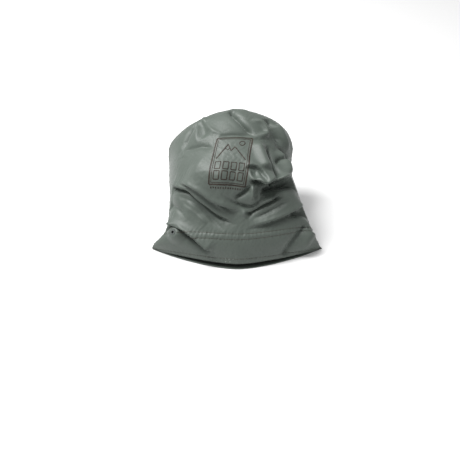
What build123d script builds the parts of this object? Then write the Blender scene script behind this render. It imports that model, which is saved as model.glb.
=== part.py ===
"""Drawstring stuff sack of coated nylon, lying on the floor half full of air, mouth towards -Y.

Two fabric panels are sewn together along both sides and across the closed end. A turned hem runs round
the mouth. Behind it a tape inside each panel makes the tunnel for a drawcord, which enters at one eyelet.
Millimetres, +Z up, origin on the floor under the middle of the sack.
"""

from build123d import *
import math
import os

# --- Driving dimensions -----------------------------------------------------------------------------
body_width = 254.0          # side to side across the belly
body_depth = 254.0          # mouth edge to closed end
body_height = 222.0         # floor to crown

cloth_wall = 1.2            # stands in for 0.15 mm coated cloth
tape_wall = 0.8             # tunnel tape, turned hem and seam tape
mouth_hem_width = 6.0       # in plan; the steep front makes it 13 mm along the cloth
tunnel_width = 5.5          # between the stitch rows, in plan; 11 mm along the cloth
seam_tape_half_width = 3.0
stitch_width = 0.9          # in plan
stitch_height = 0.35        # thread standing on the cloth
print_height = 0.35         # ink standing on the cloth

# Sections across the sack: front point (y, z), back point (y, z), half width, shift in x.
# y is in body depths, z in body heights, x in body widths. Each section is an ellipse that stands on its
# back point. What a section has below the floor is cut off, so the back panel lies flat.
mouth_section = ((-0.520, 0.063), (-0.520, -0.135), 0.618, 0.000)
ear_section = ((-0.445, 0.234), (-0.224, -0.162), 0.640, -0.030)
waist_section = ((-0.354, 0.428), (-0.157, -0.099), 0.528, -0.004)
belly_section = ((-0.177, 0.685), (0.098, -0.135), 0.498, -0.020)
shoulder_section = ((0.079, 0.901), (0.374, -0.054), 0.486, -0.043)
crown_section = ((0.295, 1.000), (0.480, 0.270), 0.445, -0.047)
nape_section = ((0.425, 0.928), (0.500, 0.518), 0.366, -0.043)
end_section = ((0.476, 0.811), (0.500, 0.631), 0.283, -0.039)
sections = [mouth_section, ear_section, waist_section, belly_section,
            shoulder_section, crown_section, nape_section, end_section]

# The mouth edge and the tunnel's first stitch row in plan, in body widths and depths.
mouth_line = ((-0.701, -0.280), (0.000, -0.500), (0.701, -0.366))
tunnel_line = ((-0.701, -0.079), (-0.591, -0.236), (-0.476, -0.354), (-0.311, -0.398), (0.000, -0.437),
               (0.311, -0.398), (0.476, -0.319), (0.591, -0.197), (0.701, -0.059))
hem_stitch_set_back = 4.0   # hem stitch row behind the mouth edge, in plan

# The line of the side seams near the mouth and beyond the closed end (y, z).
seam_start = ((-0.551, 0.016), (-0.394, 0.025))
seam_finish = (0.591, 0.775)
end_seam_reach = 0.25       # the end seam's tape each side of the middle, in body widths

# Eyelet for the drawcord, beside the left side seam.
eyelet_bore_radius = 2.75
eyelet_wall = 0.6
eyelet_flange_radius = 5.5
eyelet_flange_thickness = 0.7
eyelet_lift = 0.4           # flange and washer clear of the curved cloth
eyelet_length = 3.4         # barrel below the flange
eyelet_clearance = 0.05
eyelet_place = (-0.476, -0.343)
tape_hole_radius = 7.0
eyelet_cut = 24.0           # length of the cutting cylinders, short of the back panel

# Printed emblem on the front: a tall frame, a plain mountain and three bars.
emblem_place = (-0.035, -0.071)
emblem_width = 62.0
emblem_height = 94.0
emblem_line = 2.0
emblem_lean = -10.0         # degrees; the top leans to +X
emblem_reach = 60.0         # deeper than the cloth curves away under the emblem
mountain = ((-0.71, -0.09), (-0.26, 0.64), (0.19, 0.17), (0.42, 0.35), (0.74, -0.09))    # in half sizes
bar_width = 40.0
bar_pitch = 7.0
bar_drop = 21.0             # first bar below the emblem's middle

room = 3 * max(body_width, body_depth, body_height)     # larger than the sack, for cutting blocks


# --- Building blocks --------------------------------------------------------------------------------
def centre_of(section):
    """The middle of a section, as (y, z) in millimetres."""
    (front_y, front_z), (back_y, back_z), _, _ = section
    return (front_y + back_y) / 2 * body_depth, (front_z + back_z) / 2 * body_height


def sack_form(inset):
    """The sack as a solid, made smaller all round by inset and cut flat above the floor."""
    with BuildPart() as form:
        for section in sections:
            (front_y, front_z), (back_y, back_z), half_width, shift = section
            rise_y = (front_y - back_y) * body_depth
            rise_z = (front_z - back_z) * body_height
            half_height = math.hypot(rise_y, rise_z) / 2
            middle_y, middle_z = centre_of(section)
            plane = Plane(origin=(shift * body_width, middle_y, middle_z),
                          x_dir=(0, rise_y, rise_z), z_dir=(0, -rise_z, rise_y))
            if section is end_section:
                plane = plane.offset(inset)
            with BuildSketch(plane):
                Ellipse(half_height - inset, half_width * body_width - inset, rotation=180)
        loft()
        split(bisect_by=Plane.XY.offset(max(inset, 0)), keep=Keep.TOP)
    return form.part


def behind(line, set_back):
    """A block of everything behind a line drawn in plan and moved back by set_back millimetres."""
    points = [(x * body_width, y * body_depth + set_back) for x, y in line]
    with BuildPart() as block:
        with BuildSketch(Plane.XY.offset(-room)):
            with BuildLine():
                edge = Spline(*points)
                Polyline(edge @ 1, (room, (edge @ 1).Y), (room, room), (-room, room),
                         (-room, (edge @ 0).Y), edge @ 0)
            make_face()
        extrude(amount=2 * room)
    return block.part


def front_of_seam(shift):
    """A block of everything in front of the side seams' surface, moved up by shift."""
    line = [(y * body_depth, z * body_height) for y, z in seam_start]
    line += [centre_of(section) for section in sections[1:-2]]
    line += [(seam_finish[0] * body_depth, seam_finish[1] * body_height)]
    line = [(y, z + shift) for y, z in line]
    with BuildPart() as block:
        with BuildSketch(Plane.YZ.offset(-room)):
            with BuildLine():
                Spline(*line)
                Polyline(line[-1], (room, line[-1][1]), (room, room), (-room, room),
                         (-room, line[0][1]), line[0])
            make_face()
        extrude(amount=2 * room)
    return block.part


def surface_plane(form, place):
    """The plane touching the form's top side above a point of the floor, local Z outwards."""
    x, y = place[0] * body_width, place[1] * body_depth
    hits = form.find_intersection_points(Axis((x, y, room), (0, 0, -1)))
    point, normal = max(hits, key=lambda hit: hit[0].Z)
    if normal.Z < 0:
        normal = -normal
    across = Vector(1, 0, 0) - normal * normal.X
    return Plane(origin=point, x_dir=across, z_dir=normal)


def side_block(left, right):
    """A block of everything between two values of x."""
    with BuildPart() as block:
        with Locations(((left + right) / 2, 0, 0)):
            Box(right - left, 2 * room, 2 * room)
    return block.part


def write(part, name):
    """Names one finished piece and writes its STEP."""
    part.label = name
    export_step(part, f"parts/{name}.step")


os.makedirs("parts", exist_ok=True)

# --- Forms and cutting blocks -----------------------------------------------------------------------
outer_form = sack_form(0)
inner_form = sack_form(cloth_wall)
tape_form = sack_form(cloth_wall + tape_wall)
stitch_form = sack_form(-stitch_height)
print_form = sack_form(-print_height)

behind_edge = behind(mouth_line, 0)
behind_tunnel = behind(tunnel_line, tunnel_width)
front_half = front_of_seam(0)
hem_band = behind_edge - behind(mouth_line, mouth_hem_width)
tunnel_band = behind(tunnel_line, 0) - behind_tunnel
seam_band = front_of_seam(-seam_tape_half_width) - front_of_seam(seam_tape_half_width)
end_reach = end_seam_reach * body_width
end_middle = end_section[3] * body_width

# --- Eyelet -----------------------------------------------------------------------------------------
eyelet_plane = surface_plane(outer_form, eyelet_place)
barrel_radius = eyelet_bore_radius + eyelet_wall
with BuildPart(eyelet_plane) as cloth_hole:
    Cylinder(barrel_radius + eyelet_clearance, eyelet_cut)
with BuildPart(eyelet_plane) as tape_hole:
    Cylinder(tape_hole_radius, eyelet_cut)

flange_plane = eyelet_plane.offset(eyelet_lift)
with BuildPart() as eyelet_barrel:
    with BuildSketch(flange_plane):
        Circle(eyelet_flange_radius)
    extrude(amount=eyelet_flange_thickness)
    with BuildSketch(flange_plane):
        Circle(barrel_radius)
    extrude(amount=-eyelet_length)
    with BuildSketch(flange_plane):
        Circle(eyelet_bore_radius)
    extrude(amount=eyelet_cut, both=True, mode=Mode.SUBTRACT)
write(eyelet_barrel.part, "eyelet_barrel")

with BuildPart() as eyelet_washer:
    with BuildSketch(eyelet_plane.offset(-cloth_wall - eyelet_lift)):
        Circle(eyelet_flange_radius)
        Circle(barrel_radius + eyelet_clearance, mode=Mode.SUBTRACT)
    extrude(amount=-eyelet_flange_thickness)
write(eyelet_washer.part, "eyelet_washer")

# --- The two panels ---------------------------------------------------------------------------------
shell = (outer_form & behind_edge) - inner_form
write((shell & front_half) - cloth_hole.part, "front_panel")
write(shell - front_half, "back_panel")

# --- Turned hem and tunnel tape, inside each panel --------------------------------------------------
hem = (inner_form & hem_band) - tape_form
write(hem & front_half, "front_mouth_hem")
write(hem - front_half, "back_mouth_hem")

tunnel = (inner_form & tunnel_band) - tape_form
write((tunnel & front_half) - tape_hole.part, "front_casing_tape")
write(tunnel - front_half, "back_casing_tape")

# --- Seam tapes, inside -----------------------------------------------------------------------------
seam = (inner_form & seam_band & behind_tunnel) - tape_form
write(seam & side_block(-room, end_middle - end_reach), "left_side_seam")
write(seam & side_block(end_middle + end_reach, room), "right_side_seam")
write(seam & side_block(end_middle - end_reach, end_middle + end_reach), "end_seam")

# --- Stitch rows on the front panel -----------------------------------------------------------------
above_seam = front_of_seam(2 * seam_tape_half_width)
for line, set_back, name in (
    (tunnel_line, 0, "casing_stitch_row_1"),
    (tunnel_line, tunnel_width - stitch_width, "casing_stitch_row_2"),
    (mouth_line, hem_stitch_set_back, "mouth_hem_stitch_row"),
):
    row_band = behind(line, set_back) - behind(line, set_back + stitch_width)
    write(((stitch_form & row_band) - outer_form) & above_seam - tape_hole.part, name)

# --- Printed emblem ---------------------------------------------------------------------------------
emblem_plane = surface_plane(outer_form, emblem_place)
half_w = emblem_width / 2
half_h = emblem_height / 2
ridge_line = [(x * half_w, y * half_h) for x, y in mountain]
with BuildPart() as emblem_cutter:
    with BuildSketch(emblem_plane.rotated((0, 0, emblem_lean))):
        Rectangle(emblem_width, emblem_height)
        Rectangle(emblem_width - 2 * emblem_line, emblem_height - 2 * emblem_line, mode=Mode.SUBTRACT)
        with BuildLine():
            Polyline(*ridge_line, ridge_line[0])
        make_face()
        with Locations(*[(0, -bar_drop - row * bar_pitch) for row in range(3)]):
            Rectangle(bar_width, emblem_line)
    extrude(amount=emblem_reach, both=True)
write((print_form & emblem_cutter.part) - outer_form, "printed_emblem")
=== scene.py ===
"""A puffed drawstring stuff sack of coated nylon on a pale floor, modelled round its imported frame."""

import logging
import math
from dataclasses import dataclass, field
from enum import Enum

import bpy
import numpy as np
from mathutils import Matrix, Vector, noise


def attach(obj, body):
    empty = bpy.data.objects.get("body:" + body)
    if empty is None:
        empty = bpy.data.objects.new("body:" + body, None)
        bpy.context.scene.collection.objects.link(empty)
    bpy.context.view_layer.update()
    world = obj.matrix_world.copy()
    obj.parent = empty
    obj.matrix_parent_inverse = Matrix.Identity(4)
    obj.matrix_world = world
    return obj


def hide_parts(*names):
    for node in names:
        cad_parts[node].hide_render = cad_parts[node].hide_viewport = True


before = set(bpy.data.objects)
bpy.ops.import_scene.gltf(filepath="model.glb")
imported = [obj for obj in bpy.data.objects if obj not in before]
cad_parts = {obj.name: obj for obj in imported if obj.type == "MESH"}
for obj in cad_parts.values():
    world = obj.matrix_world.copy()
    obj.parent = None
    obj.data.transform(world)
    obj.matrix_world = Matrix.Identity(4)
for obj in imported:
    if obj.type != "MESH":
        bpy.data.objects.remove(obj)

log = logging.getLogger("stuff_sack")

Point = tuple[float, float, float]
Pair = tuple[float, float]

ROOT = "root"
MM = 0.001


# --- The cut of the cloth and the form it takes -----------------------------------------------------
class Panel(Enum):
    """The two cloth panels that are sewn into the sack."""

    FRONT = "front"
    BACK = "back"


@dataclass(frozen=True)
class Cut:
    """The flat cut of one panel, in millimetres.

    Attributes:
        width: Side seam to side seam.
        length: Mouth edge to end seam.
        columns: Mesh cells across.
        rows: Mesh cells along.
    """

    width: float = 340.0
    length: float = 392.0
    columns: int = 100
    rows: int = 116

    def grid(self) -> tuple[np.ndarray, np.ndarray]:
        """Gives the flat u and v of each mesh point, in millimetres, as (rows + 1, columns + 1) arrays."""
        u = np.linspace(-self.width / 2, self.width / 2, self.columns + 1)
        v = np.linspace(0.0, self.length, self.rows + 1)
        return np.meshgrid(u, v)


@dataclass(frozen=True)
class Section:
    """One cross-section of the puffed sack, in millimetres of the frame.

    Attributes:
        along: How far along the cloth it sits, from 0 at the mouth to 1 at the end seam.
        front: Its highest front point, as (y, z).
        back: Its lowest back point, as (y, z).
        half_width: Half its width.
        shift: How far its middle is moved in x.
        bow: How far its two side points are pulled towards the mouth.
        droop: How far its two side points hang down.
        round: How round its left and right halves are, 2 for an ellipse and 1 for straight flanks.
    """

    along: float
    front: Pair
    back: Pair
    half_width: float
    shift: float = 0.0
    bow: float = 0.0
    droop: float = 0.0
    round: Pair = (2.0, 2.0)


SECTIONS = (
    Section(0.000, (-127, 11), (-130, -26), 166, 0, -58, 0),
    Section(0.105, (-112, 50), (-66, -34), 160, -1, -20, 0),
    Section(0.220, (-83, 89), (-42, -24), 142, 4, 0, 0),
    Section(0.395, (-51, 159), (25, -30), 127, -3, 0, 0),
    Section(0.600, (20, 197), (92, -14), 120, -13, 0, 0),
    Section(0.760, (72, 215), (120, 58), 122, -11, 8, 10, (1.6, 1.95)),
    Section(0.880, (108, 203), (128, 100), 110, -7, 4, 16, (1.4, 1.95)),
    Section(0.955, (123, 178), (130, 122), 119, -10, 6, 36, (1.45, 1.85)),
    Section(1.000, (127, 148), (128, 144), 124, -11, 8, 46),
)


def spline(stations: np.ndarray, values: np.ndarray, at: np.ndarray) -> np.ndarray:
    """Runs a smooth monotone-slope curve through values at the stations.

    Args:
        stations: Increasing stations, one per value.
        values: The values, the first axis matching stations.
        at: Where to read the curve.

    Returns:
        The curve's values, the first axis matching at.
    """
    gaps = np.diff(stations)
    slopes = np.diff(values, axis=0) / gaps.reshape(-1, *[1] * (values.ndim - 1))
    tangents = np.empty_like(values)
    tangents[1:-1] = (slopes[:-1] + slopes[1:]) / 2
    tangents[0], tangents[-1] = slopes[0], slopes[-1]
    cell = np.clip(np.searchsorted(stations, at, side="right") - 1, 0, len(gaps) - 1)
    shape = (-1, *[1] * (values.ndim - 1))
    gap = gaps[cell].reshape(shape)
    t = ((at - stations[cell]) / gaps[cell]).reshape(shape)
    a, b = values[cell], values[cell + 1]
    ta, tb = tangents[cell] * gap, tangents[cell + 1] * gap
    return (
        (2 * t**3 - 3 * t**2 + 1) * a
        + (t**3 - 2 * t**2 + t) * ta
        + (3 * t**2 - 2 * t**3) * b
        + (t**3 - t**2) * tb
    )


def half_ring(section: Section, share: np.ndarray, panel: Panel) -> np.ndarray:
    """Places points on a section's front or back half, evenly by length.

    Args:
        section: The cross-section.
        share: Where each point is across the panel, from -1 at the left seam to 1 at the right.
        panel: Which half.

    Returns:
        The points, as (n, 3) in millimetres.
    """
    front, back = np.array(section.front, float), np.array(section.back, float)
    middle, rise = (front + back) / 2, (front - back) / 2
    angle = np.linspace(math.pi, 0.0, 721) * (1 if panel is Panel.FRONT else -1)
    across, up = np.cos(angle), np.sin(angle)
    power = 2.0 / np.where(across < 0, section.round[0], section.round[1])
    across = np.sign(across) * np.abs(across) ** power
    up = np.sign(up) * np.abs(up) ** power
    x = section.shift + section.half_width * across
    y = middle[0] + rise[0] * up - section.bow * np.abs(across) ** 1.6
    z = middle[1] + rise[1] * up - section.droop * across**2
    z = np.maximum(z, 0.0)
    ring = np.stack([x, y, z], axis=1)
    steps = np.linalg.norm(np.diff(ring, axis=0), axis=1)
    run = np.concatenate([[0.0], np.cumsum(steps)])
    want = (share + 1) / 2 * run[-1]
    return np.stack([np.interp(want, run, ring[:, k]) for k in range(3)], axis=1)


def puffed_form(cut: Cut, panel: Panel) -> np.ndarray:
    """Gives the smooth puffed shape of a panel, as (rows + 1, columns + 1, 3) in millimetres."""
    share = np.linspace(-1.0, 1.0, cut.columns + 1)
    rings = np.stack([half_ring(s, share, panel) for s in SECTIONS])
    stations = np.array([s.along for s in SECTIONS])
    return spline(stations, rings, np.linspace(0.0, 1.0, cut.rows + 1))


class FoldKind(Enum):
    """How the cloth is folded along a line."""

    CREASE = "a sharp line"
    ROUND = "a soft roll"
    STEP = "a ledge, its left side raised and its right side sunk"


@dataclass(frozen=True)
class Fold:
    """A fold in the front panel.

    Attributes:
        path: The line it follows, as (u, v) on the flat panel in millimetres.
        height: How far it stands out, or in if negative, in millimetres.
        reach: How far to each side it is felt, in millimetres.
        kind: Its cross-section.
        lean: How far its crest hangs over towards the mouth, in millimetres.
        fade: The share of its length over which it grows at the start and dies at the end.
    """

    path: tuple[Pair, ...]
    height: float
    reach: float
    kind: FoldKind = FoldKind.CREASE
    lean: float = 0.0
    fade: Pair = (0.3, 0.3)

    def strength(self, u: np.ndarray, v: np.ndarray) -> np.ndarray:
        """Gives the fold's share of its height at each point of the panel, from -1 to 1."""
        knots = np.array(self.path, float)
        steps = np.linalg.norm(np.diff(knots, axis=0), axis=1)
        stations = np.concatenate([[0.0], np.cumsum(steps)])
        run = np.linspace(0.0, stations[-1], 60)
        line = spline(stations, knots, run)
        start, way = line[:-1], np.diff(line, axis=0)
        spot = np.stack([u, v], axis=-1)[..., None, :]
        t = ((spot - start) * way).sum(-1) / (way * way).sum(-1)
        t = np.clip(t, 0.0, 1.0)
        gap = spot - (start + way * t[..., None])
        far = np.sqrt((gap * gap).sum(-1))
        near = far.argmin(-1)[..., None]
        distance = np.take_along_axis(far, near, -1)[..., 0]
        turn = way[..., 0] * gap[..., 1] - way[..., 1] * gap[..., 0]
        side = np.sign(np.take_along_axis(turn, near, -1)[..., 0])
        along = (near[..., 0] + np.take_along_axis(t, near, -1)[..., 0]) / len(start)
        grow = np.clip(along / max(self.fade[0], 1e-3), 0.0, 1.0)
        die = np.clip((1.0 - along) / max(self.fade[1], 1e-3), 0.0, 1.0)
        taper = (grow * grow * (3 - 2 * grow)) * (die * die * (3 - 2 * die))
        d = distance / self.reach
        if self.kind is FoldKind.CREASE:
            body = np.exp(-2.2 * (np.sqrt(d * d + 0.01) - 0.1))
        elif self.kind is FoldKind.ROUND:
            body = np.exp(-2.0 * d * d)
        else:
            body = side * np.tanh(d * 5.0) * np.exp(-2.0 * d)
        return body * taper


CREASE, ROUND, STEP = FoldKind.CREASE, FoldKind.ROUND, FoldKind.STEP
FOLDS = (
    # The crown, pulled between the closed end's two corners.
    Fold(((-67, 318), (-52, 284), (-32, 256), (-8, 242)), 5, 12, CREASE, 0, (0.15, 0.35)),
    Fold(((-74, 312), (-68, 275), (-63, 248), (-60, 228)), 4, 9, CREASE, 0, (0.1, 0.4)),
    Fold(((-82, 318), (-84, 284), (-91, 252), (-96, 218)), -8, 13, CREASE, 0, (0.2, 0.4)),
    Fold(((-96, 230), (-74, 228), (-52, 225), (-26, 212)), -6, 15, CREASE),
    Fold(((-8, 318), (6, 294), (22, 272), (48, 243)), -13, 10, CREASE, 0, (0.1, 0.25)),
    Fold(((-20, 326), (12, 322), (40, 326)), 2, 26, ROUND),
    Fold(((36, 288), (60, 286), (70, 264), (48, 245)), 7, 8, ROUND),
    Fold(((70, 312), (92, 276), (104, 248)), -12, 13, ROUND, 0, (0.2, 0.3)),
    Fold(((96, 312), (116, 280), (134, 252)), 6, 13, ROUND, 0, (0.2, 0.3)),
    Fold(((-22, 240), (12, 243), (44, 246)), -4, 10, CREASE),
    Fold(((-62, 298), (-50, 262), (-46, 240)), -5, 15, ROUND),
    # The full belly.
    Fold(((-84, 192), (-44, 166), (0, 152)), 9, 38, ROUND),
    Fold(((48, 240), (55, 206), (60, 176)), 11, 16, ROUND, 2, (0.3, 0.15)),
    Fold(((72, 236), (73, 205), (78, 190), (80, 178), (75, 163), (72, 146)), -22, 9, CREASE, 0, (0.3, 0.05)),
    # The lobe at the right, and its crease.
    Fold(((88, 232), (106, 222), (110, 200), (98, 178)), 14, 15, ROUND, 4),
    Fold(((84, 243), (106, 243), (128, 238), (136, 220), (124, 192)), -10, 7, CREASE),
    Fold(((122, 238), (97, 214), (84, 198)), -10, 7, CREASE, 0, (0.2, 0.2)),
    # The ledge and the pocket under them.
    Fold(((22, 148), (37, 152), (52, 148), (70, 160), (96, 172), (116, 188)), 34, 15, STEP, 11, (0.15, 0.25)),
    Fold(((38, 120), (61, 134), (87, 150), (126, 178)), -29, 11, CREASE, 0, (0.2, 0.03)),
    Fold(((18, 172), (34, 178), (47, 170), (54, 152)), 10, 12, STEP, 2, (0.3, 0.2)),
    Fold(((28, 160), (42, 162)), -8, 11, ROUND),
    Fold(((-10, 116), (12, 127), (30, 143)), -13, 7, CREASE),
    Fold(((29, 142), (27, 114)), 8, 5, CREASE),
    Fold(((36, 140), (35, 114)), -9, 5, CREASE),
    # The waist, where the full upper part hangs over the skirt.
    Fold(((-108, 168), (-70, 137), (-50, 118), (-25, 105), (6, 95)), 14, 17, STEP, 5, (0.2, 0.3)),
    Fold(((-134, 174), (-97, 144), (-70, 114), (-42, 91), (-2, 73)), 11, 15, STEP, 4, (0.05, 0.3)),
    Fold(((-134, 172), (-97, 142), (-70, 111), (-40, 88), (0, 72)), -6, 5, CREASE, 0, (0.05, 0.3)),
    Fold(((-98, 156), (-62, 126), (-32, 101), (-10, 88)), 5, 5, CREASE),
    Fold(((-126, 150), (-86, 116), (-56, 86), (-22, 62)), -5, 6, CREASE),
    Fold(((-112, 122), (-84, 98), (-60, 74)), 4, 7, CREASE),
    Fold(((20, 82), (48, 93), (78, 110), (108, 132)), -6, 6, CREASE),
    Fold(((-30, 130), (-14, 115), (9, 105), (24, 104), (41, 114), (60, 124), (90, 147)), -10, 6, CREASE),
    Fold(((-4, 99), (20, 98), (40, 109), (62, 121), (90, 140)), 9, 6, CREASE, 3),
    Fold(((8, 88), (31, 99), (46, 107), (64, 115), (94, 136)), -15, 9, CREASE, 0, (0.15, 0.2)),
    Fold(((6, 97), (13, 91), (21, 90)), 5, 4, ROUND),
    # The skirt.
    Fold(((12, 66), (67, 84), (119, 114), (150, 140)), 11, 14, STEP, 2, (0.3, 0.1)),
    Fold(((154, 126), (122, 108), (96, 92)), -13, 10, CREASE, 0, (0.05, 0.4)),
    Fold(((142, 92), (120, 64), (100, 34), (88, 4)), -9, 13, CREASE, 0, (0.1, 0.1)),
    Fold(((156, 80), (136, 50), (124, 8)), 5, 13, ROUND, 0, (0.1, 0.2)),
    Fold(((-150, 96), (-116, 75), (-85, 55), (-44, 22)), 22, 13, STEP, 5, (0.03, 0.12)),
    Fold(((-118, 146), (-98, 112), (-60, 84)), -4, 14, CREASE),
    Fold(((-150, 140), (-124, 118), (-104, 92)), -5, 14, CREASE, 0, (0.05, 0.4)),
)


@dataclass
class SackCloth:
    """The sack's two panels as one sewn cloth."""

    cut: Cut = field(default_factory=Cut)

    def folded_front(self) -> np.ndarray:
        """Gives the front panel's puffed form with its folds worked in, in millimetres."""
        form = puffed_form(self.cut, Panel.FRONT)
        along = np.gradient(form, axis=0)
        across = np.gradient(form, axis=1)
        outward = np.cross(across, along)
        outward /= np.linalg.norm(outward, axis=-1, keepdims=True) + 1e-9
        mouthward = -along / (np.linalg.norm(along, axis=-1, keepdims=True) + 1e-9)
        u, v = self.cut.grid()
        rim = np.clip((self.cut.width / 2 - np.abs(u)) / 12.0, 0.0, 1.0)
        out = form.copy()
        for fold in FOLDS:
            share = (fold.strength(u, v) * rim)[..., None]
            out += outward * share * fold.height + mouthward * share * fold.lean
        out[..., 2] = np.maximum(out[..., 2], 0.3)
        return out

    def indices(self) -> tuple[np.ndarray, np.ndarray]:
        """Numbers the mesh points of both panels, which share the side seams and the end seam."""
        rows, columns = self.cut.rows + 1, self.cut.columns + 1
        front = np.arange(rows * columns).reshape(rows, columns)
        back = np.full((rows, columns), -1)
        back[:, 0], back[:, -1], back[-1] = front[:, 0], front[:, -1], front[-1]
        free = back < 0
        back[free] = rows * columns + np.arange(free.sum())
        return front, back

    def points(self) -> np.ndarray:
        """Gives the designed place of every mesh point, in millimetres."""
        front, back = self.indices()
        out = np.zeros((back.max() + 1, 3))
        out[back] = puffed_form(self.cut, Panel.BACK)
        out[front] = self.folded_front()
        return out

    def build(self) -> bpy.types.Object:
        """Makes the cloth's mesh with its panel coordinates."""
        front, back = self.indices()
        points = self.points()
        quads, uvs = [], []
        u, v = self.cut.grid()
        for grid, panel in ((front, Panel.FRONT), (back, Panel.BACK)):
            a, b, c, d = grid[:-1, :-1], grid[:-1, 1:], grid[1:, 1:], grid[1:, :-1]
            fu = [u[:-1, :-1], u[:-1, 1:], u[1:, 1:], u[1:, :-1]]
            fv = [v[:-1, :-1], v[:-1, 1:], v[1:, 1:], v[1:, :-1]]
            order = [0, 1, 2, 3] if panel is Panel.FRONT else [3, 2, 1, 0]
            corner = [a, b, c, d]
            quads.append(np.stack([corner[k] for k in order], axis=-1).reshape(-1, 4))
            shift = 0.0 if panel is Panel.FRONT else 500.0
            uv = np.stack([np.stack([fu[k] + shift, fv[k]], axis=-1) for k in order], axis=-2)
            uvs.append(uv.reshape(-1, 2))
        mesh = bpy.data.meshes.new("sack_cloth")
        mesh.from_pydata(points * MM, [], np.concatenate(quads).tolist())
        layer = mesh.uv_layers.new(name="Panel")
        layer.data.foreach_set("uv", (np.concatenate(uvs) * MM).ravel())
        mesh.shade_smooth()
        cloth = bpy.data.objects.new("sack_cloth", mesh)
        bpy.context.scene.collection.objects.link(cloth)
        return cloth


@dataclass(frozen=True)
class Settling:
    """How the cloth settles once it is folded.

    Attributes:
        frames: Steps of the simulation.
        pressure: Air inside the sack.
        spare: Share by which the cloth is longer than its folded shape.
        bending: Stiffness of the coated cloth against bending.
        gravity: Share of gravity that acts.
        hold: How firmly each point is held near its folded place, from 0 to 1.
    """

    frames: int = 14
    pressure: float = 1.6
    spare: float = 0.007
    bending: float = 0.1
    gravity: float = 0.04
    hold: float = 0.3

    def settle(self, cloth: bpy.types.Object) -> None:
        """Runs the cloth simulation and keeps its result in the mesh.

        Args:
            cloth: The folded cloth, open at its mouth.
        """
        bpy.ops.mesh.primitive_plane_add(size=2.0, location=(0, 0, -0.0012))
        ground = bpy.context.object
        ground.modifiers.new("Collision", "COLLISION")
        ground.collision.thickness_outer = 0.001
        ground.collision.cloth_friction = 40.0
        sewn = cloth.modifiers.new("Cloth", "CLOTH")
        how = sewn.settings
        how.quality = 6
        how.mass = 0.3
        how.tension_stiffness = how.compression_stiffness = 30.0
        how.shear_stiffness = 10.0
        how.bending_stiffness = self.bending
        how.tension_damping = how.compression_damping = how.shear_damping = 5.0
        how.air_damping = 2.0
        how.shrink_min = -self.spare
        how.use_pressure = True
        how.uniform_pressure_force = self.pressure
        how.effector_weights.gravity = self.gravity
        sewn.collision_settings.distance_min = 0.001
        group = cloth.vertex_groups.new(name="hold")
        group.add(range(len(cloth.data.vertices)), self.hold, "REPLACE")
        how.vertex_group_mass = "hold"
        how.pin_stiffness = 1.0
        scene = bpy.context.scene
        scene.frame_start, scene.frame_end = 1, self.frames
        sewn.point_cache.frame_start, sewn.point_cache.frame_end = 1, self.frames
        for number in range(1, self.frames + 1):
            scene.frame_set(number)
        bpy.ops.object.select_all(action="DESELECT")
        cloth.select_set(True)
        bpy.context.view_layer.objects.active = cloth
        bpy.ops.object.modifier_apply(modifier="Cloth")
        bpy.data.objects.remove(ground)
        scene.frame_set(1)


# --- The settled skin and what is sewn or printed on it -----------------------------------------------
def bump(distance: np.ndarray, reach: float) -> np.ndarray:
    """Gives a smooth bump of height 1 at no distance, dying out over reach."""
    return np.exp(-((distance / reach) ** 2))


def tunnel_row(u: np.ndarray) -> np.ndarray:
    """Gives the v of the tunnel's first stitch row, which climbs towards the side seams."""
    return 47.5 + np.where(u < 0, 0.0010, 0.0014) * u * u


def crumpled(u: np.ndarray, v: np.ndarray, size: float, seed: float) -> np.ndarray:
    """Gives a net of fine creases, each field between them about size millimetres wide.

    Args:
        u: Across the flat panel, in millimetres.
        v: Along the flat panel, in millimetres.
        size: Width of a field.
        seed: Shifts the net.

    Returns:
        0 on a crease and up to about 1 between creases.
    """
    spots = zip((u / size).ravel().tolist(), (v / size).ravel().tolist())
    values = [abs(noise.noise((x, y, seed))) for x, y in spots]
    return np.array(values).reshape(u.shape) * 2.0


@dataclass(frozen=True)
class Sewing:
    """Sizes of the sewing, in millimetres.

    Attributes:
        tunnel: Between the tunnel's two stitch rows.
        hem: Depth of the turned hem at the mouth.
        hem_row: The hem's stitch row behind the mouth edge.
        seam: Width of the seam allowances inside.
        thickness: Thickness of one layer of cloth as modelled.
        pitch: Length of a stitch with its gap.
    """

    tunnel: float = 10.0
    hem: float = 13.0
    hem_row: float = 10.0
    seam: float = 8.0
    thickness: float = 0.4
    pitch: float = 3.0


@dataclass(frozen=True)
class EyeletSeat:
    """Where the metal eyelet grips the cloth, in millimetres of the frame."""

    centre: Point = (-120.904, -87.122, 56.121)
    outward: Point = (-0.522333, -0.493831, 0.695198)
    lift: float = 0.36
    flat_radius: float = 7.0
    felt_radius: float = 22.0
    hole_radius: float = 3.0

    def away(self, points: np.ndarray) -> tuple[np.ndarray, np.ndarray]:
        """Gives how far points lie off the eyelet's plane and off its axis."""
        gap = points - np.array(self.centre)
        height = gap @ np.array(self.outward)
        return height, np.linalg.norm(gap - height[..., None] * np.array(self.outward), axis=-1)

    def press(self, points: np.ndarray) -> np.ndarray:
        """Pulls the cloth round the eyelet flat under its flange."""
        height, radius = self.away(points)
        share = np.clip((self.felt_radius - radius) / (self.felt_radius - self.flat_radius), 0.0, 1.0)
        share = share * share * (3 - 2 * share) * (np.abs(height) < 30.0)
        return points + (share * (self.lift - height))[..., None] * np.array(self.outward)


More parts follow.
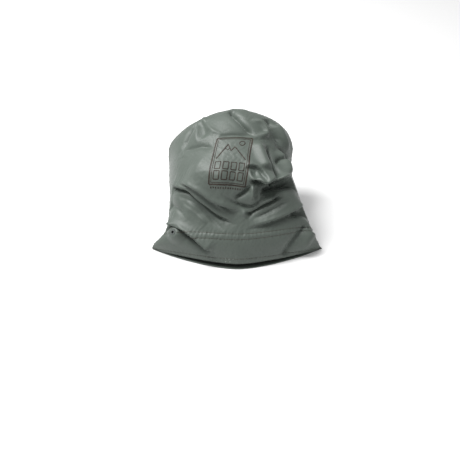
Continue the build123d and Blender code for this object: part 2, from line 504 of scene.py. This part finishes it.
@dataclass
class Skin:
    """A panel's settled surface, to be read at any (u, v) of its flat cut."""

    panel: Panel
    cut: Cut
    points: np.ndarray
    sewing: Sewing = field(default_factory=Sewing)
    seat: EyeletSeat = field(default_factory=EyeletSeat)

    def smooth(self, u: np.ndarray, v: np.ndarray) -> np.ndarray:
        """Reads the settled surface with a Catmull-Rom patch."""
        rows, columns = self.points.shape[0] - 1, self.points.shape[1] - 1
        s = np.clip((u / self.cut.width + 0.5) * columns, 0.0, columns)
        t = np.clip(v / self.cut.length * rows, 0.0, rows)
        i, j = np.minimum(s.astype(int), columns - 1), np.minimum(t.astype(int), rows - 1)

        def weights(f: np.ndarray) -> list[np.ndarray]:
            return [
                (-(f**3) + 2 * f**2 - f) / 2,
                (3 * f**3 - 5 * f**2 + 2) / 2,
                (-3 * f**3 + 4 * f**2 + f) / 2,
                (f**3 - f**2) / 2,
            ]

        out = np.zeros(u.shape + (3,))
        for a, wa in enumerate(weights(s - i)):
            for b, wb in enumerate(weights(t - j)):
                ia, jb = np.clip(i + a - 1, 0, columns), np.clip(j + b - 1, 0, rows)
                out += (wa * wb)[..., None] * self.points[jb, ia]
        return out

    def outward(self, u: np.ndarray, v: np.ndarray) -> np.ndarray:
        """Gives the unit normal that points out of the sack."""
        h = 1.5
        across = self.smooth(u + h, v) - self.smooth(u - h, v)
        along = self.smooth(u, v + h) - self.smooth(u, v - h)
        normal = np.cross(across, along) * (1.0 if self.panel is Panel.FRONT else -1.0)
        return normal / (np.linalg.norm(normal, axis=-1, keepdims=True) + 1e-9)

    def relief(self, u: np.ndarray, v: np.ndarray) -> np.ndarray:
        """Gives the fine relief that the sewing leaves in the cloth, in millimetres."""
        low = v - tunnel_row(u)
        high = low - self.sewing.tunnel
        middle = low - self.sewing.tunnel / 2
        wave = np.sin(u * 0.93 + 1.7 * np.sin(u / 19.0)) + 0.5 * np.sin(u * 0.41 + 1.0)
        out = 0.7 * bump(middle, 4.2) - 0.55 * (bump(low, 1.3) + bump(high, 1.3))
        out = out + 0.28 * wave * (bump(low, 6.0) + bump(high, 6.0))
        out = out - 0.45 * bump(v - self.sewing.hem_row, 1.3)
        out = out + 0.2 * wave * bump(v - self.sewing.hem_row, 6.0)
        side = self.cut.width / 2 - np.abs(u)
        tug = np.sin(v * 0.71 + 2.1 * np.sin(v / 27.0)) + 0.6 * np.sin(v * 0.29)
        out = out + 0.6 * tug * (side / 5.0) * np.exp(1 - side / 5.0)
        end = self.cut.length - v
        tug = np.sin(u * 0.63 + 1.8 * np.sin(u / 31.0)) + 0.5 * np.sin(u * 0.27)
        out = out + 0.4 * tug * (end / 5.0) * np.exp(1 - end / 5.0)
        calm = 1.0 - 0.8 * np.exp(-(((u + 20.0) / 70.0) ** 2) - ((v - 190.0) / 55.0) ** 2)
        seed = 3.0 if self.panel is Panel.FRONT else 8.0
        out = out + calm * 0.9 * crumpled(u + 0.4 * v, 1.5 * v, 52.0, seed)
        rim = np.clip(np.minimum(side, end) / 8.0, 0.0, 1.0)
        return out * rim

    def at(self, u: np.ndarray, v: np.ndarray, lift: np.ndarray | float = 0.0) -> np.ndarray:
        """Places points on the finished cloth.

        Args:
            u: Across the flat panel, in millimetres.
            v: Along the flat panel, in millimetres.
            lift: How far each point stands off the cloth's outer face, in millimetres.

        Returns:
            The points, in millimetres of the frame.
        """
        u, v = np.broadcast_arrays(np.asarray(u, float), np.asarray(v, float))
        normal = self.outward(u, v)
        out = self.smooth(u, v) + normal * self.relief(u, v)[..., None]
        if self.panel is Panel.FRONT:
            out = self.seat.press(out)
        out[..., 2] = np.maximum(out[..., 2], 0.5)
        return out + normal * np.broadcast_to(lift, u.shape)[..., None]


def new_object(name: str, points: np.ndarray, faces: list, uvs: np.ndarray | None = None) -> bpy.types.Object:
    """Makes a smooth-shaded mesh object from points in millimetres.

    Args:
        name: The piece's name.
        points: The points, as (n, 3).
        faces: The faces, as lists of point numbers.
        uvs: The panel coordinates of each face corner in millimetres, as (corners, 2).

    Returns:
        The object, with its origin at the frame's origin.
    """
    mesh = bpy.data.meshes.new(name)
    mesh.from_pydata(points * MM, [], faces)
    layer = mesh.uv_layers.new(name="Panel")
    if uvs is not None:
        layer.data.foreach_set("uv", (uvs * MM).ravel())
    mesh.shade_smooth()
    made = bpy.data.objects.new(name, mesh)
    bpy.context.scene.collection.objects.link(made)
    log.info("built %s: %d points, %d faces", name, len(points), len(faces))
    return made


def sleeve(rings: int, sides: int, first: int) -> list[list[int]]:
    """Gives the faces of a closed sleeve of rings, with its two ends capped."""
    ring = np.arange(sides)
    faces = []
    for k in range(rings - 1):
        a, b = first + k * sides + ring, first + (k + 1) * sides + ring
        faces += np.stack([a, np.roll(a, -1), np.roll(b, -1), b], axis=1).tolist()
    faces.append((first + ring[::-1]).tolist())
    faces.append((first + (rings - 1) * sides + ring).tolist())
    return faces


@dataclass
class Strip:
    """A narrow piece that follows a line on the cloth.

    Attributes:
        path: Its centreline on the flat panel, as (n, 2) in millimetres.
        section: Its cross-section, as (offset to the side, lift) in millimetres, in order round it.
        scale: The cross-section's scale at each point of the path.
        rise: An extra lift at each point of the path.
    """

    path: np.ndarray
    section: tuple[Pair, ...]
    scale: np.ndarray | None = None
    rise: np.ndarray | None = None

    def flat(self) -> np.ndarray:
        """Gives (u, v, lift) for each ring and corner of the strip, as (n, m, 3)."""
        way = np.gradient(self.path, axis=0)
        way /= np.linalg.norm(way, axis=1, keepdims=True) + 1e-9
        side = np.stack([-way[:, 1], way[:, 0]], axis=1)
        section = np.array(self.section, float)
        scale = np.ones(len(self.path)) if self.scale is None else self.scale
        rise = np.zeros(len(self.path)) if self.rise is None else self.rise
        spot = self.path[:, None] + side[:, None] * (section[:, 0] * scale[:, None])[..., None]
        lift = section[:, 1] * scale[:, None] + rise[:, None]
        return np.concatenate([spot, lift[..., None]], axis=-1)


def lay_strips(name: str, skin: Skin, strips: list[Strip]) -> bpy.types.Object:
    """Makes one piece of several strips laid on a panel."""
    flats = [strip.flat() for strip in strips]
    spots = np.concatenate([flat.reshape(-1, 3) for flat in flats])
    points = skin.at(spots[:, 0], spots[:, 1], spots[:, 2])
    points[:, 2] = np.maximum(points[:, 2], 0.1)
    faces, first = [], 0
    for flat in flats:
        faces += sleeve(flat.shape[0], flat.shape[1], first)
        first += flat.shape[0] * flat.shape[1]
    corners = np.array([corner for face in faces for corner in face])
    return new_object(name, points, faces, spots[corners, :2])


def line_between(knots: tuple[Pair, ...], step: float) -> np.ndarray:
    """Divides a polyline into points about a step apart, keeping its corners."""
    parts = []
    for a, b in zip(knots[:-1], knots[1:]):
        count = max(1, round(math.dist(a, b) / step))
        parts.append(np.linspace(a, b, count + 1)[:-1])
    return np.concatenate(parts + [np.array([knots[-1]], float)])


@dataclass
class PanelCloth:
    """One finished cloth panel."""

    skin: Skin
    columns: int = 180
    rows: int = 208

    def build(self) -> bpy.types.Object:
        """Makes the panel, open where the eyelet passes and thickened inwards."""
        cut, front = self.skin.cut, self.skin.panel is Panel.FRONT
        u, v = np.meshgrid(
            np.linspace(-cut.width / 2, cut.width / 2, self.columns + 1),
            np.linspace(0.0, cut.length, self.rows + 1),
        )
        points = self.skin.at(u, v).reshape(-1, 3)
        grid = np.arange(u.size).reshape(u.shape)
        corners = [grid[:-1, :-1], grid[:-1, 1:], grid[1:, 1:], grid[1:, :-1]]
        quads = np.stack(corners if front else corners[::-1], axis=-1).reshape(-1, 4)
        if front:
            height, radius = self.skin.seat.away(points)
            gone = (radius < self.skin.seat.hole_radius) & (np.abs(height) < 10.0)
            quads = quads[~gone[quads].any(axis=1)]
        flat = np.stack([u.ravel() + (0.0 if front else 500.0), v.ravel()], axis=1)
        cloth = new_object(f"{self.skin.panel.value}_cloth", points, quads.tolist(), flat[quads.ravel()])
        thick = cloth.modifiers.new("Solidify", "SOLIDIFY")
        thick.thickness = self.skin.sewing.thickness * MM
        thick.offset = -1.0
        thick.material_offset = thick.material_offset_rim = 1
        return cloth


@dataclass
class SewnEdges:
    """The hem, tunnel tape and seam allowance inside a panel."""

    skin: Skin

    def across(self, inset: float) -> np.ndarray:
        """Gives a line along the mouth edge, stopping short of both side seams by inset."""
        half = self.skin.cut.width / 2 - inset
        u = np.linspace(-half, half, 150)
        return np.stack([u, np.zeros_like(u)], axis=1)

    def hem(self) -> bpy.types.Object:
        """Makes the turned hem, which wraps the mouth edge."""
        depth = self.skin.sewing.hem
        section = (
            (0.5, 0.3), (-0.5, 0.25), (-0.9, -0.2), (-0.7, -0.9), (0.6, -1.1),
            (depth, -0.9), (depth, -0.45), (0.2, -0.4), (0.1, 0.1),
        )
        path = self.across(0.6)
        return lay_strips(f"{self.skin.panel.value}_hem", self.skin, [Strip(path, section)])

    def tape(self) -> bpy.types.Object:
        """Makes the tunnel tape, loose enough between its rows for a cord."""
        width = self.skin.sewing.tunnel
        section = (
            (-1.5, -0.45), (width / 2, -0.9), (width + 1.5, -0.45), (width + 1.5, -0.85),
            (width * 0.7, -1.7), (width * 0.3, -1.7), (-1.5, -0.85),
        )
        path = self.across(3.0)
        path[:, 1] = tunnel_row(path[:, 0])
        if self.skin.panel is Panel.FRONT:
            runs = [path[path[:, 0] < -128.0], path[path[:, 0] > -110.0]]
        else:
            runs = [path]
        strips = [Strip(run, section) for run in runs]
        return lay_strips(f"{self.skin.panel.value}_tunnel_tape", self.skin, strips)

    def allowance(self, name: str, start: Pair, finish: Pair, turn: float) -> bpy.types.Object:
        """Makes a seam allowance inside, between two points of the panel's edge."""
        width = self.skin.sewing.seam * turn
        section = ((0.0, -0.5), (width, -0.6), (width, -1.4), (0.0, -1.2))
        path = line_between((start, finish), 3.0)
        return lay_strips(name, self.skin, [Strip(path, section if turn > 0 else section[::-1])])


@dataclass
class StitchRow:
    """A row of lockstitches in twisted thread."""

    skin: Skin
    name: str
    offset: float
    follows_tunnel: bool = True
    radius: float = 0.42

    def build(self) -> bpy.types.Object:
        """Makes the row, with the run under the eyelet left out."""
        pitch = self.skin.sewing.pitch
        half = self.skin.cut.width / 2 - 4.0
        strips = []
        angles = np.linspace(0.0, 2 * math.pi, 7)[:-1]
        section = tuple((self.radius * math.cos(a), self.radius * math.sin(a)) for a in angles)
        for middle in np.arange(-half, half, pitch):
            if self.follows_tunnel and abs(middle + 119.0) < 9.0:
                continue
            u = middle + np.array([-1.15, -0.85, 0.0, 0.85, 1.15])
            v = (tunnel_row(u) if self.follows_tunnel else np.zeros(5)) + self.offset
            strips.append(Strip(
                np.stack([u, v], axis=1), section,
                np.array([0.5, 0.9, 1.0, 0.9, 0.5]), np.array([-0.15, 0.18, 0.28, 0.18, -0.15]),
            ))
        return lay_strips(self.name, self.skin, strips)


@dataclass
class Emblem:
    """The plain print on the front: a tall frame with a mountain, a sun and bars.

    Attributes:
        skin: The front panel.
        corners: The frame's lower left, lower right, upper right and upper left corners, as (u, v).
    """

    skin: Skin
    corners: tuple[Pair, Pair, Pair, Pair] = ((-47, 146), (15, 137), (41, 239), (-22, 235))

    def placed(self, points: np.ndarray) -> np.ndarray:
        """Moves points of the unit square into the frame."""
        a, b, c, d = (np.array(corner, float) for corner in self.corners)
        x, y = points[:, :1], points[:, 1:]
        return a * (1 - x) * (1 - y) + b * x * (1 - y) + c * x * y + d * (1 - x) * y

    def line(self, knots: tuple[Pair, ...], width: float) -> Strip:
        """Prints a line through points of the unit square."""
        path = self.placed(line_between(knots, 0.02))
        half = width / 2
        return Strip(path, ((-half, 0.02), (half, 0.02), (half * 0.9, 0.13), (-half * 0.9, 0.13)))

    def build(self) -> bpy.types.Object:
        """Prints the emblem."""
        strips = []
        for inset, width in ((0.0, 2.6), (0.055, 1.2)):
            low_y, high_y = inset * 0.62, 1 - inset * 0.62
            low, high = inset, 1 - inset
            square = ((low, low_y), (high, low_y), (high, high_y), (low, high_y), (low, low_y))
            strips += [self.line(square[k:k + 2], width) for k in range(4)]
        peaks = ((0.1, 0.5), (0.36, 0.83), (0.47, 0.68), (0.56, 0.77), (0.9, 0.5))
        strips += [self.line(peaks[k:k + 2], 2.1) for k in range(4)]
        strips.append(self.line(((0.27, 0.71), (0.33, 0.73), (0.37, 0.69), (0.42, 0.745)), 1.1))
        turn = np.linspace(0.0, 2 * math.pi, 19)
        sun = tuple((0.74 + 0.075 * math.cos(t), 0.86 + 0.048 * math.sin(t)) for t in turn)
        strips.append(self.line(sun, 1.8))
        for low in (0.28, 0.09):
            for left in np.linspace(0.11, 0.75, 4):
                far, high = left + 0.14, low + 0.15
                box = ((left, low), (far, low), (far, high), (left, high), (left, low))
                strips += [self.line(box[k:k + 2], 1.8) for k in range(4)]
        for left in np.linspace(0.04, 0.92, 14):
            strips.append(self.line(((left, -0.055), (left + 0.035, -0.055)), 3.2))
        return lay_strips("emblem_print", self.skin, strips)


# --- Studio -----------------------------------------------------------------------------------------
@dataclass
class Studio:
    """The pale floor, the soft lights and the camera."""

    elevation: float = 40.0
    distance: float = 1.79
    aim: Pair = (-0.013, -0.009)

    def camera(self) -> None:
        """Places the camera."""
        tilt = math.radians(self.elevation)
        ahead = Vector((0.0, math.cos(tilt), -math.sin(tilt)))
        up = Vector((0.0, math.sin(tilt), math.cos(tilt)))
        target = Vector((self.aim[0], 0.0, 0.0)) + up * self.aim[1]
        data = bpy.data.cameras.new("camera")
        data.lens, data.sensor_width = 70.0, 36.0
        eye = bpy.data.objects.new("camera", data)
        eye.location = target - ahead * self.distance
        eye.rotation_euler = ahead.to_track_quat("-Z", "Y").to_euler()
        bpy.context.scene.collection.objects.link(eye)
        bpy.context.scene.camera = eye

    def lights(self) -> None:
        """Hangs the soft lights."""
        world = bpy.data.worlds.new("studio")
        world.use_nodes = True
        world.node_tree.nodes["Background"].inputs[0].default_value = (1, 1, 1, 1)
        world.node_tree.nodes["Background"].inputs[1].default_value = 0.49
        bpy.context.scene.world = world
        for name, place, size, watts in (
            ("key", (-0.8, 0.14, 1.6), 0.8, 39.0),
            ("top", (-0.3, 0.2, 2.0), 1.0, 8.0),
        ):
            data = bpy.data.lights.new(name, "AREA")
            data.size, data.energy = size, watts
            lamp = bpy.data.objects.new(name, data)
            lamp.location = place
            toward = Vector((0, 0, 0.08)) - Vector(place)
            lamp.rotation_euler = toward.to_track_quat("-Z", "Y").to_euler()
            bpy.context.scene.collection.objects.link(lamp)
        bpy.context.scene.view_settings.view_transform = "Standard"

    def floor(self) -> None:
        """Lays the floor."""
        bpy.ops.mesh.primitive_plane_add(size=12.0, location=(0, 0, 0))
        plane = bpy.context.object
        plane.name = "floor"
        paint = bpy.data.materials.new("floor")
        paint.use_nodes = True
        shader = paint.node_tree.nodes["Principled BSDF"]
        shader.inputs["Base Color"].default_value = (0.9, 0.9, 0.9, 1)
        shader.inputs["Roughness"].default_value = 0.6
        plane.data.materials.append(paint)

    def build(self) -> None:
        """Builds the whole studio."""
        self.camera()
        self.lights()
        self.floor()


# --- Finishes ---------------------------------------------------------------------------------------
class NodeName(str, Enum):
    """The shader nodes in use."""

    NOISE = "ShaderNodeTexNoise"
    WAVE = "ShaderNodeTexWave"
    MAPPING = "ShaderNodeMapping"
    COORDINATES = "ShaderNodeTexCoord"
    RAMP = "ShaderNodeMapRange"
    MATHS = "ShaderNodeMath"
    MIX = "ShaderNodeMix"
    BUMP = "ShaderNodeBump"
    GROUP = "ShaderNodeGroup"


@dataclass
class Wiring:
    """A node tree being wired up."""

    tree: bpy.types.NodeTree

    def node(self, kind: NodeName, **values: object) -> bpy.types.Node:
        """Adds a node and sets its properties, or its sockets where a key ends in _in."""
        made = self.tree.nodes.new(kind.value)
        for key, value in values.items():
            if key.endswith("_in"):
                made.inputs[key[:-3].replace("_", " ")].default_value = value
            else:
                setattr(made, key, value)
        return made

    def join(self, source: bpy.types.NodeSocket, target: bpy.types.NodeSocket) -> None:
        """Links two sockets."""
        self.tree.links.new(source, target)

    def maths(self, operation: str, *terms: object) -> bpy.types.NodeSocket:
        """Adds a maths node on sockets or numbers and gives its output."""
        made = self.node(NodeName.MATHS, operation=operation)
        for place, term in enumerate(terms):
            if isinstance(term, bpy.types.NodeSocket):
                self.join(term, made.inputs[place])
            else:
                made.inputs[place].default_value = term
        return made.outputs[0]

    def noise(self, vector: bpy.types.NodeSocket, scale: float, detail: float = 4.0) -> bpy.types.NodeSocket:
        """Adds a noise texture and gives its value."""
        made = self.node(NodeName.NOISE, Scale_in=scale, Detail_in=detail)
        self.join(vector, made.inputs["Vector"])
        return made.outputs[0]

    def span(self, value: bpy.types.NodeSocket, low: float, high: float, to: Pair) -> bpy.types.NodeSocket:
        """Maps a value from low and high to the two numbers of to."""
        made = self.node(NodeName.RAMP)
        self.join(value, made.inputs["Value"])
        for place, number in enumerate((low, high, *to), start=1):
            made.inputs[place].default_value = number
        return made.outputs[0]


def weave_group() -> bpy.types.NodeTree:
    """Makes the group that weaves threads over and under along the panel coordinates."""
    group = bpy.data.node_groups.new("plain_weave", "ShaderNodeTree")
    group.interface.new_socket("Vector", in_out="INPUT", socket_type="NodeSocketVector")
    group.interface.new_socket("Threads", in_out="INPUT", socket_type="NodeSocketFloat")
    group.interface.new_socket("Height", in_out="OUTPUT", socket_type="NodeSocketFloat")
    group.interface.new_socket("Slub", in_out="OUTPUT", socket_type="NodeSocketFloat")
    wires = Wiring(group)
    source, sink = group.nodes.new("NodeGroupInput"), group.nodes.new("NodeGroupOutput")
    scaled = wires.node(NodeName.MAPPING)
    wires.join(source.outputs["Vector"], scaled.inputs["Vector"])
    size = group.nodes.new("ShaderNodeCombineXYZ")
    for axis in range(3):
        wires.join(source.outputs["Threads"], size.inputs[axis])
    wires.join(size.outputs[0], scaled.inputs["Scale"])
    split = group.nodes.new("ShaderNodeSeparateXYZ")
    wires.join(scaled.outputs[0], split.inputs[0])
    warp = wires.maths("SINE", wires.maths("MULTIPLY", split.outputs[0], math.pi))
    weft = wires.maths("SINE", wires.maths("MULTIPLY", split.outputs[1], math.pi))
    cross = wires.maths("MULTIPLY", warp, weft)
    wires.join(wires.maths("MULTIPLY_ADD", cross, 0.5, 0.5), sink.inputs["Height"])
    long = wires.node(NodeName.MAPPING, Scale_in=(1.0, 0.06, 1.0))
    wires.join(source.outputs["Vector"], long.inputs["Vector"])
    wires.join(wires.noise(long.outputs[0], 1600.0, 2.0), sink.inputs["Slub"])
    return group


@dataclass(frozen=True)
class Finish:
    """A material's recipe.

    Attributes:
        name: The material's name.
        colour: Its base colour.
        other: The colour its mottling leans to.
        roughness: Its least and greatest roughness.
        specular: Its specular level.
        metallic: How metallic it is.
        sheen: Its sheen weight.
    """

    name: str
    colour: Point
    other: Point
    roughness: Pair
    specular: float = 0.4
    metallic: float = 0.0
    sheen: float = 0.0

    def start(self) -> tuple[bpy.types.Material, Wiring, bpy.types.Node, bpy.types.Node]:
        """Makes the material with its constants set, and its coordinates node."""
        paint = bpy.data.materials.new(self.name)
        paint.use_nodes = True
        wires = Wiring(paint.node_tree)
        shader = paint.node_tree.nodes["Principled BSDF"]
        shader.inputs["Specular IOR Level"].default_value = self.specular
        shader.inputs["Metallic"].default_value = self.metallic
        shader.inputs["Sheen Weight"].default_value = self.sheen
        shader.inputs["Sheen Roughness"].default_value = 0.4
        return paint, wires, shader, wires.node(NodeName.COORDINATES)

    def mottle(self, wires: Wiring, shader: bpy.types.Node, value: bpy.types.NodeSocket) -> None:
        """Mixes the two colours and the roughness by a value."""
        blend = wires.node(NodeName.MIX, data_type="RGBA")
        blend.inputs[6].default_value = (*self.colour, 1)
        blend.inputs[7].default_value = (*self.other, 1)
        wires.join(value, blend.inputs[0])
        wires.join(blend.outputs[2], shader.inputs["Base Color"])
        wires.join(wires.span(value, 0.0, 1.0, self.roughness), shader.inputs["Roughness"])

    def relief(
        self, wires: Wiring, shader: bpy.types.Node, layers: tuple[tuple[bpy.types.NodeSocket, float], ...]
    ) -> None:
        """Stacks bumps, each a height and its depth in metres."""
        below = None
        for height, depth in layers:
            made = wires.node(NodeName.BUMP, Distance_in=depth, Strength_in=1.0)
            wires.join(height, made.inputs["Height"])
            if below is not None:
                wires.join(below, made.inputs["Normal"])
            below = made.outputs[0]
        wires.join(below, shader.inputs["Normal"])


@dataclass(frozen=True)
class WovenFinish(Finish):
    """Woven cloth, coated or plain.

    Attributes:
        threads: Threads to the metre.
        crumple: Depth of the fine crumpling, in metres.
    """

    threads: float = 2400.0
    crumple: float = 0.00012

    def make(self) -> bpy.types.Material:
        """Makes the material."""
        paint, wires, shader, place = self.start()
        weave = wires.node(NodeName.GROUP, node_tree=bpy.data.node_groups["plain_weave"])
        wires.join(place.outputs["UV"], weave.inputs["Vector"])
        weave.inputs["Threads"].default_value = self.threads
        broad = wires.noise(place.outputs["UV"], 14.0, 5.0)
        patches = wires.span(broad, 0.3, 0.7, (0.0, 0.65))
        fine = wires.maths("MULTIPLY_ADD", weave.outputs["Slub"], 0.35, patches)
        self.mottle(wires, shader, fine)
        self.relief(wires, shader, (
            (wires.noise(place.outputs["UV"], 30.0, 2.0), self.crumple),
            (weave.outputs["Height"], 0.00005),
        ))
        return paint


@dataclass(frozen=True)
class ThreadFinish(Finish):
    """Twisted sewing thread."""

    def make(self) -> bpy.types.Material:
        """Makes the material."""
        paint, wires, shader, place = self.start()
        twist = wires.node(NodeName.WAVE, bands_direction="DIAGONAL", Scale_in=700.0, Distortion_in=1.0)
        wires.join(place.outputs["UV"], twist.inputs["Vector"])
        self.mottle(wires, shader, wires.noise(place.outputs["Object"], 300.0))
        self.relief(wires, shader, ((twist.outputs["Fac"], 0.00008),))
        return paint


@dataclass(frozen=True)
class InkFinish(Finish):
    """Ink printed on cloth, thin where the weave has let it through."""

    def make(self) -> bpy.types.Material:
        """Makes the material."""
        paint, wires, shader, place = self.start()
        patchy = wires.noise(place.outputs["UV"], 420.0, 3.0)
        broad = wires.noise(place.outputs["UV"], 60.0, 2.0)
        worn = wires.span(wires.maths("ADD", patchy, broad), 0.95, 1.35, (0.0, 1.0))
        self.mottle(wires, shader, worn)
        self.relief(wires, shader, ((patchy, 0.00004),))
        return paint


@dataclass(frozen=True)
class MetalFinish(Finish):
    """Rolled metal with fine scratches and dulled spots."""

    def make(self) -> bpy.types.Material:
        """Makes the material."""
        paint, wires, shader, place = self.start()
        long = wires.node(NodeName.MAPPING, Scale_in=(1.0, 12.0, 1.0))
        wires.join(place.outputs["Object"], long.inputs["Vector"])
        scratches = wires.noise(long.outputs[0], 260.0, 3.0)
        spots = wires.noise(place.outputs["Object"], 700.0, 2.0)
        self.mottle(wires, shader, wires.span(wires.maths("ADD", scratches, spots), 0.7, 1.3, (0.0, 1.0)))
        self.relief(wires, shader, ((scratches, 0.00003),))
        return paint


SACK_CLOTH = WovenFinish(
    "coated_nylon", (0.074, 0.09, 0.077), (0.089, 0.108, 0.093), (0.44, 0.53), 0.45, sheen=0.08
)
SACK_LINING = WovenFinish("nylon_inside", (0.052, 0.064, 0.055), (0.066, 0.08, 0.069), (0.6, 0.7), 0.3)
TAPE_CLOTH = WovenFinish(
    "woven_tape", (0.045, 0.054, 0.047), (0.06, 0.07, 0.062), (0.7, 0.85), 0.3, threads=1300.0
)
THREAD = ThreadFinish(
    "sewing_thread", (0.028, 0.018, 0.01), (0.055, 0.038, 0.022), (0.5, 0.7), 0.4, sheen=0.2
)
PRINT_INK = InkFinish("brown_ink", (0.02, 0.0125, 0.008), (0.05, 0.042, 0.03), (0.5, 0.65), 0.35)
EYELET_METAL = MetalFinish("dull_metal", (0.15, 0.165, 0.158), (0.09, 0.1, 0.095), (0.38, 0.58), 0.5, 0.7)


def dress(piece: bpy.types.Object, *finishes: Finish) -> None:
    """Gives a piece its finishes, one for each material index."""
    piece.data.materials.clear()
    for finish in finishes:
        piece.data.materials.append(bpy.data.materials.get(finish.name) or finish.make())


@dataclass
class StuffSack:
    """The whole sack: both panels with all that is sewn, set or printed on them."""

    cloth: SackCloth = field(default_factory=SackCloth)

    def skins(self) -> tuple[Skin, Skin]:
        """Folds and settles the cloth, and reads back the two panels' surfaces."""
        whole = self.cloth.build()
        Settling().settle(whole)
        flat = np.empty(len(whole.data.vertices) * 3)
        whole.data.vertices.foreach_get("co", flat)
        points = flat.reshape(-1, 3) / MM
        bpy.data.objects.remove(whole)
        front, back = self.cloth.indices()
        cut = self.cloth.cut
        return Skin(Panel.FRONT, cut, points[front]), Skin(Panel.BACK, cut, points[back])

    def build(self) -> None:
        weave_group()
        front, back = self.skins()
        half, length = front.cut.width / 2, front.cut.length
        start = float(tunnel_row(np.array(half))) + 12.0
        pieces: dict[str, tuple[bpy.types.Object, tuple[str, ...]]] = {}
        front_cloth, back_cloth = PanelCloth(front).build(), PanelCloth(back).build()
        edges = SewnEdges(front), SewnEdges(back)
        hems = [e.hem() for e in edges]
        tapes = [e.tape() for e in edges]
        left = edges[0].allowance("left_allowance", (-half, start), (-half, length - 3), -1.0)
        right = edges[0].allowance("right_allowance", (half, start), (half, length - 3), 1.0)
        end = edges[0].allowance("end_allowance", (-half + 3, length), (half - 3, length), -1.0)
        rows = [
            StitchRow(front, "tunnel_stitches_low", 0.0).build(),
            StitchRow(front, "tunnel_stitches_high", front.sewing.tunnel).build(),
            StitchRow(front, "hem_stitches", front.sewing.hem_row, False).build(),
        ]
        emblem = Emblem(front).build()
        for piece, nodes in (
            (front_cloth, ("front_panel",)), (back_cloth, ("back_panel",)),
            (hems[0], ("front_mouth_hem",)), (hems[1], ("back_mouth_hem",)),
            (tapes[0], ("front_casing_tape",)), (tapes[1], ("back_casing_tape",)),
            (left, ("left_side_seam",)), (right, ("right_side_seam",)), (end, ("end_seam",)),
            (rows[0], ("casing_stitch_row_1",)), (rows[1], ("casing_stitch_row_2",)),
            (rows[2], ("mouth_hem_stitch_row",)), (emblem, ("printed_emblem",)),
        ):
            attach(piece, ROOT)
            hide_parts(*nodes)
        for piece in (front_cloth, back_cloth):
            dress(piece, SACK_CLOTH, SACK_LINING)
        for piece in (*hems, *tapes, left, right, end):
            dress(piece, SACK_CLOTH if piece in hems else TAPE_CLOTH)
        for piece in rows:
            dress(piece, THREAD)
        dress(emblem, PRINT_INK)
        for name in ("eyelet_barrel", "eyelet_washer"):
            dress(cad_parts[name], EYELET_METAL)


def main() -> None:
    """Builds the studio and the sack, in order."""
    logging.basicConfig(level=logging.INFO, format="%(message)s")
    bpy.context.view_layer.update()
    Studio().build()
    StuffSack().build()


if __name__ == "__main__":
    main()
